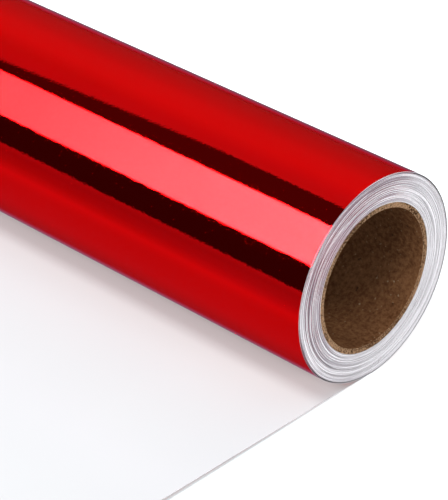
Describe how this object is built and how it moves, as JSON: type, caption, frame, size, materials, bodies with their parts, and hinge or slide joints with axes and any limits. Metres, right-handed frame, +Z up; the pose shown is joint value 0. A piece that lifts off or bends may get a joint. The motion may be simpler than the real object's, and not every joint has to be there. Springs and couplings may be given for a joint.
{
  "type": "wrapping paper roll",
  "caption": "Roll of metallic red foil gift-wrap paper on a cardboard core, its first length pulled off underneath and laid out flat.",
  "frame": {"origin": "on the roll's axis, halfway along it, at the centre of the core's bore", "axes": "+X along the roll's axis, +Y away from the laid-out paper, +Z up from the surface that the paper lies on"},
  "size_m": [0.432, 0.2886, 0.0572],
  "materials": {
    "foil_paper": "mirror-bright metallic red foil on one face, smooth white paper on the other",
    "core_board": "matt recycled brown board",
    "clear_tape": "satin translucent"
  },
  "bodies": {
    "sheet": {"laid_sheet": "foil_paper"},
    "sheet_end": {"sheet_end": "foil_paper"},
    "outer_turn": {"outer_turn": "foil_paper"},
    "spool": {"wound_paper": "foil_paper", "start_tape": "clear_tape", "core_liner_ply": "core_board", "core_body_ply_inner": "core_board", "core_body_ply_outer": "core_board", "core_cover_ply": "core_board"}
  },
  "joints": [
    {"name": "end_fold", "type": "hinge", "parent": "sheet", "child": "sheet_end", "pos_m": [0, -0.22, -0.02824], "axis": [-1, 0, 0], "range_deg": [0, 178]},
    {"name": "unroll_travel", "type": "slide", "parent": "sheet", "child": "outer_turn", "axis": [0, 1, 0], "range_m": [0, 0.5]},
    {"name": "spool_turn", "type": "hinge", "parent": "outer_turn", "child": "spool", "pos_m": [0, 0, 0], "axis": [1, 0, 0], "range_deg": [-1004, 0]}
  ],
  "couplings": [
    {"joint": "spool_turn", "follows": "unroll_travel", "rad_per_m": -34.965}
  ]
}
